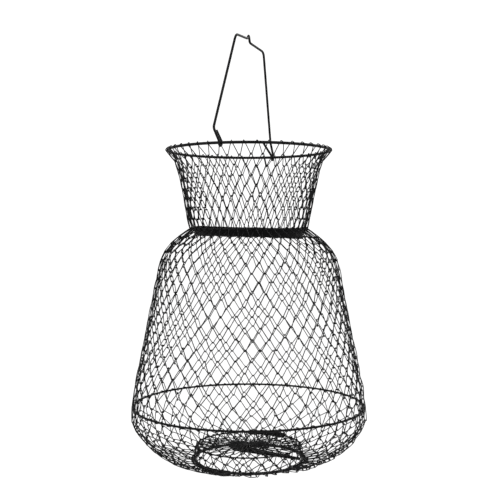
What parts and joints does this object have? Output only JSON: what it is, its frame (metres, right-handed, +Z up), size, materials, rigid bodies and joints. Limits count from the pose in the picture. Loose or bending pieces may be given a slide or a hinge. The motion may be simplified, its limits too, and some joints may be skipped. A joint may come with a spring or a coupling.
{
  "type": "folding crab basket",
  "caption": "Collapsible wire basket with a flared mesh collar, a sprung lid in its neck, a drop door in its base and a bail handle.",
  "frame": {"origin": "top of the hanging eye in the bail, on the basket's axis", "axes": "+Z up along the basket's axis, +Y along the line between the bail's two pivots on the rim, X across it"},
  "size_m": [0.3364, 0.3364, 0.6169],
  "materials": {
    "coated_wire": "black dipped coating, satin",
    "mesh_wire": "black dipped coating, satin, thin and a little uneven",
    "spring_steel": "blackened spring wire",
    "strap_steel": "black coated strip"
  },
  "bodies": {
    "handle": {"handle_wire": "coated_wire"},
    "rim": {"rim_hoop": "coated_wire", "collar_row_1": "mesh_wire"},
    "collar_row_2": {"collar_row_2": "mesh_wire"},
    "collar_row_3": {"collar_row_3": "mesh_wire"},
    "collar_row_4": {"collar_row_4": "mesh_wire"},
    "collar_row_5": {"collar_row_5": "mesh_wire"},
    "collar_row_6": {"collar_row_6": "mesh_wire"},
    "collar_row_7": {"collar_row_7": "mesh_wire"},
    "collar_row_8": {"collar_row_8": "mesh_wire"},
    "body_row_1": {"body_row_1": "mesh_wire"},
    "body_row_2": {"body_row_2": "mesh_wire"},
    "body_row_3": {"body_row_3": "mesh_wire"},
    "body_row_4": {"body_row_4": "mesh_wire"},
    "body_row_5": {"body_row_5": "mesh_wire"},
    "body_row_6": {"body_row_6": "mesh_wire"},
    "body_row_7": {"body_row_7": "mesh_wire"},
    "body_row_8": {"body_row_8": "mesh_wire"},
    "body_row_9": {"body_row_9": "mesh_wire"},
    "body_row_10": {"body_row_10": "mesh_wire"},
    "body_row_11": {"body_row_11": "mesh_wire"},
    "body_row_12": {"body_row_12": "mesh_wire"},
    "body_row_13": {"body_row_13": "mesh_wire"},
    "body_row_14": {"body_row_14": "mesh_wire"},
    "body_row_15": {"body_row_15": "mesh_wire"},
    "body_row_16": {"body_row_16": "mesh_wire"},
    "body_row_17": {"body_row_17": "mesh_wire"},
    "body_row_18": {"body_row_18": "mesh_wire"},
    "body_row_19": {"body_row_19": "mesh_wire"},
    "bowl_row_1": {"bowl_row_1": "mesh_wire"},
    "bowl_row_2": {"bowl_row_2": "mesh_wire"},
    "bowl_row_3": {"bowl_row_3": "mesh_wire"},
    "bowl_row_4": {"bowl_row_4": "mesh_wire"},
    "bowl_row_5": {"bowl_row_5": "mesh_wire"},
    "bowl_row_6": {"bowl_row_6": "mesh_wire"},
    "bowl_row_7": {"bowl_row_7": "mesh_wire"},
    "bowl_row_8": {"bowl_row_8": "mesh_wire"},
    "bowl_row_9": {"bowl_row_9": "mesh_wire"},
    "neck": {"neck_hoop": "coated_wire", "lid_spring": "spring_steel"},
    "body_ring": {"body_hoop": "coated_wire"},
    "base": {"base_hoop": "coated_wire", "door_spring": "spring_steel", "door_catch": "coated_wire"},
    "lid": {"lid_hoop": "coated_wire", "lid_edge": "strap_steel", "lid_mesh": "mesh_wire", "lid_centre_ring": "coated_wire", "lid_hinge_loops": "coated_wire"},
    "door": {"door_hoop": "coated_wire", "door_dish_ring": "coated_wire", "door_skirt": "mesh_wire", "door_mesh": "mesh_wire", "door_centre_ring": "coated_wire", "door_hinge_loops": "coated_wire", "door_splice": "spring_steel"},
    "latch": {"door_latch": "strap_steel"}
  },
  "joints": [
    {"name": "handle_swing", "type": "hinge", "parent": "handle", "child": "rim", "pos_m": [0, 0, -0.16905], "axis": [0, 1, 0], "range_deg": [-60, 40]},
    {"name": "fold", "type": "slide", "parent": "rim", "child": "base", "axis": [0, 0, 1], "range_m": [0, 0.3913]},
    {"name": "collar_row_2_slide", "type": "slide", "parent": "rim", "child": "collar_row_2", "axis": [0, 0, 1], "range_m": [-0.001, 0.01425]},
    {"name": "collar_row_3_slide", "type": "slide", "parent": "rim", "child": "collar_row_3", "axis": [0, 0, 1], "range_m": [-0.001, 0.02811]},
    {"name": "collar_row_4_slide", "type": "slide", "parent": "rim", "child": "collar_row_4", "axis": [0, 0, 1], "range_m": [-0.001, 0.04213]},
    {"name": "collar_row_5_slide", "type": "slide", "parent": "rim", "child": "collar_row_5", "axis": [0, 0, 1], "range_m": [-0.001, 0.05618]},
    {"name": "collar_row_6_slide", "type": "slide", "parent": "rim", "child": "collar_row_6", "axis": [0, 0, 1], "range_m": [-0.001, 0.07025]},
    {"name": "collar_row_7_slide", "type": "slide", "parent": "rim", "child": "collar_row_7", "axis": [0, 0, 1], "range_m": [-0.001, 0.08432]},
    {"name": "collar_row_8_slide", "type": "slide", "parent": "rim", "child": "collar_row_8", "axis": [0, 0, 1], "range_m": [-0.001, 0.0984]},
    {"name": "body_row_1_slide", "type": "slide", "parent": "rim", "child": "body_row_1", "axis": [0, 0, 1], "range_m": [-0.001, 0.0976]},
    {"name": "body_row_2_slide", "type": "slide", "parent": "rim", "child": "body_row_2", "axis": [0, 0, 1], "range_m": [-0.001, 0.10577]},
    {"name": "body_row_3_slide", "type": "slide", "parent": "rim", "child": "body_row_3", "axis": [0, 0, 1], "range_m": [-0.001, 0.11501]},
    {"name": "body_row_4_slide", "type": "slide", "parent": "rim", "child": "body_row_4", "axis": [0, 0, 1], "range_m": [-0.001, 0.12571]},
    {"name": "body_row_5_slide", "type": "slide", "parent": "rim", "child": "body_row_5", "axis": [0, 0, 1], "range_m": [-0.001, 0.13823]},
    {"name": "body_row_6_slide", "type": "slide", "parent": "rim", "child": "body_row_6", "axis": [0, 0, 1], "range_m": [-0.001, 0.15207]},
    {"name": "body_row_7_slide", "type": "slide", "parent": "rim", "child": "body_row_7", "axis": [0, 0, 1], "range_m": [-0.001, 0.166]},
    {"name": "body_row_8_slide", "type": "slide", "parent": "rim", "child": "body_row_8", "axis": [0, 0, 1], "range_m": [-0.001, 0.17992]},
    {"name": "body_row_9_slide", "type": "slide", "parent": "rim", "child": "body_row_9", "axis": [0, 0, 1], "range_m": [-0.001, 0.19385]},
    {"name": "body_row_10_slide", "type": "slide", "parent": "rim", "child": "body_row_10", "axis": [0, 0, 1], "range_m": [-0.001, 0.20777]},
    {"name": "body_row_11_slide", "type": "slide", "parent": "rim", "child": "body_row_11", "axis": [0, 0, 1], "range_m": [-0.001, 0.2217]},
    {"name": "body_row_12_slide", "type": "slide", "parent": "rim", "child": "body_row_12", "axis": [0, 0, 1], "range_m": [-0.001, 0.23562]},
    {"name": "body_row_13_slide", "type": "slide", "parent": "rim", "child": "body_row_13", "axis": [0, 0, 1], "range_m": [-0.001, 0.24955]},
    {"name": "body_row_14_slide", "type": "slide", "parent": "rim", "child": "body_row_14", "axis": [0, 0, 1], "range_m": [-0.001, 0.26347]},
    {"name": "body_row_15_slide", "type": "slide", "parent": "rim", "child": "body_row_15", "axis": [0, 0, 1], "range_m": [-0.001, 0.2774]},
    {"name": "body_row_16_slide", "type": "slide", "parent": "rim", "child": "body_row_16", "axis": [0, 0, 1], "range_m": [-0.001, 0.29132]},
    {"name": "body_row_17_slide", "type": "slide", "parent": "rim", "child": "body_row_17", "axis": [0, 0, 1], "range_m": [-0.001, 0.30525]},
    {"name": "body_row_18_slide", "type": "slide", "parent": "rim", "child": "body_row_18", "axis": [0, 0, 1], "range_m": [-0.001, 0.31917]},
    {"name": "body_row_19_slide", "type": "slide", "parent": "rim", "child": "body_row_19", "axis": [0, 0, 1], "range_m": [-0.001, 0.33327]},
    {"name": "bowl_row_1_slide", "type": "slide", "parent": "rim", "child": "bowl_row_1", "axis": [0, 0, 1], "range_m": [-0.001, 0.33247]},
    {"name": "bowl_row_2_slide", "type": "slide", "parent": "rim", "child": "bowl_row_2", "axis": [0, 0, 1], "range_m": [-0.001, 0.34509]},
    {"name": "bowl_row_3_slide", "type": "slide", "parent": "rim", "child": "bowl_row_3", "axis": [0, 0, 1], "range_m": [-0.001, 0.35707]},
    {"name": "bowl_row_4_slide", "type": "slide", "parent": "rim", "child": "bowl_row_4", "axis": [0, 0, 1], "range_m": [-0.001, 0.36802]},
    {"name": "bowl_row_5_slide", "type": "slide", "parent": "rim", "child": "bowl_row_5", "axis": [0, 0, 1], "range_m": [-0.001, 0.37777]},
    {"name": "bowl_row_6_slide", "type": "slide", "parent": "rim", "child": "bowl_row_6", "axis": [0, 0, 1], "range_m": [-0.001, 0.38626]},
    {"name": "bowl_row_7_slide", "type": "slide", "parent": "rim", "child": "bowl_row_7", "axis": [0, 0, 1], "range_m": [-0.001, 0.39348]},
    {"name": "bowl_row_8_slide", "type": "slide", "parent": "rim", "child": "bowl_row_8", "axis": [0, 0, 1], "range_m": [-0.001, 0.39939]},
    {"name": "bowl_row_9_slide", "type": "slide", "parent": "rim", "child": "bowl_row_9", "axis": [0, 0, 1], "range_m": [-0.001, 0.40395]},
    {"name": "neck_slide", "type": "slide", "parent": "rim", "child": "neck", "axis": [0, 0, 1], "range_m": [-0.001, 0.098]},
    {"name": "body_ring_slide", "type": "slide", "parent": "rim", "child": "body_ring", "axis": [0, 0, 1], "range_m": [-0.001, 0.33287]},
    {"name": "lid_open", "type": "hinge", "parent": "neck", "child": "lid", "pos_m": [0.07629, 0.02777, -0.278], "axis": [-0.342, 0.9397, 0], "range_deg": [-72, 0], "stiffness_Nm_per_rad": 0.1, "springref_deg": 34.38},
    {"name": "door_open", "type": "hinge", "parent": "base", "child": "door", "pos_m": [-0.01935, -0.07222, -0.611], "axis": [-0.9659, 0.2588, 0], "range_deg": [0, 100], "stiffness_Nm_per_rad": 0.12, "springref_deg": -34.38},
    {"name": "latch_lift", "type": "hinge", "parent": "door", "child": "latch", "pos_m": [0, 0, -0.599], "axis": [0.1564, -0.9877, 0], "range_deg": [0, 8], "stiffness_Nm_per_rad": 0.05, "springref_deg": -17.19}
  ],
  "couplings": [
    {"joint": "collar_row_2_slide", "follows": "fold", "ratio": 0.033853},
    {"joint": "collar_row_3_slide", "follows": "fold", "ratio": 0.069288},
    {"joint": "collar_row_4_slide", "follows": "fold", "ratio": 0.10511},
    {"joint": "collar_row_5_slide", "follows": "fold", "ratio": 0.14104},
    {"joint": "collar_row_6_slide", "follows": "fold", "ratio": 0.177},
    {"joint": "collar_row_7_slide", "follows": "fold", "ratio": 0.21297},
    {"joint": "collar_row_8_slide", "follows": "fold", "ratio": 0.24894},
    {"joint": "body_row_1_slide", "follows": "fold", "ratio": 0.2469},
    {"joint": "body_row_2_slide", "follows": "fold", "ratio": 0.26778},
    {"joint": "body_row_3_slide", "follows": "fold", "ratio": 0.29141},
    {"joint": "body_row_4_slide", "follows": "fold", "ratio": 0.31875},
    {"joint": "body_row_5_slide", "follows": "fold", "ratio": 0.35074},
    {"joint": "body_row_6_slide", "follows": "fold", "ratio": 0.38612},
    {"joint": "body_row_7_slide", "follows": "fold", "ratio": 0.42171},
    {"joint": "body_row_8_slide", "follows": "fold", "ratio": 0.4573},
    {"joint": "body_row_9_slide", "follows": "fold", "ratio": 0.49289},
    {"joint": "body_row_10_slide", "follows": "fold", "ratio": 0.52849},
    {"joint": "body_row_11_slide", "follows": "fold", "ratio": 0.56408},
    {"joint": "body_row_12_slide", "follows": "fold", "ratio": 0.59967},
    {"joint": "body_row_13_slide", "follows": "fold", "ratio": 0.63526},
    {"joint": "body_row_14_slide", "follows": "fold", "ratio": 0.67085},
    {"joint": "body_row_15_slide", "follows": "fold", "ratio": 0.70644},
    {"joint": "body_row_16_slide", "follows": "fold", "ratio": 0.74203},
    {"joint": "body_row_17_slide", "follows": "fold", "ratio": 0.77762},
    {"joint": "body_row_18_slide", "follows": "fold", "ratio": 0.81322},
    {"joint": "body_row_19_slide", "follows": "fold", "ratio": 0.84926},
    {"joint": "bowl_row_1_slide", "follows": "fold", "ratio": 0.84721},
    {"joint": "bowl_row_2_slide", "follows": "fold", "ratio": 0.87947},
    {"joint": "bowl_row_3_slide", "follows": "fold", "ratio": 0.91007},
    {"joint": "bowl_row_4_slide", "follows": "fold", "ratio": 0.93806},
    {"joint": "bowl_row_5_slide", "follows": "fold", "ratio": 0.96299},
    {"joint": "bowl_row_6_slide", "follows": "fold", "ratio": 0.98469},
    {"joint": "bowl_row_7_slide", "follows": "fold", "ratio": 1.0031},
    {"joint": "bowl_row_8_slide", "follows": "fold", "ratio": 1.0182},
    {"joint": "bowl_row_9_slide", "follows": "fold", "ratio": 1.0299},
    {"joint": "neck_slide", "follows": "fold", "ratio": 0.24792},
    {"joint": "body_ring_slide", "follows": "fold", "ratio": 0.84823}
  ]
}
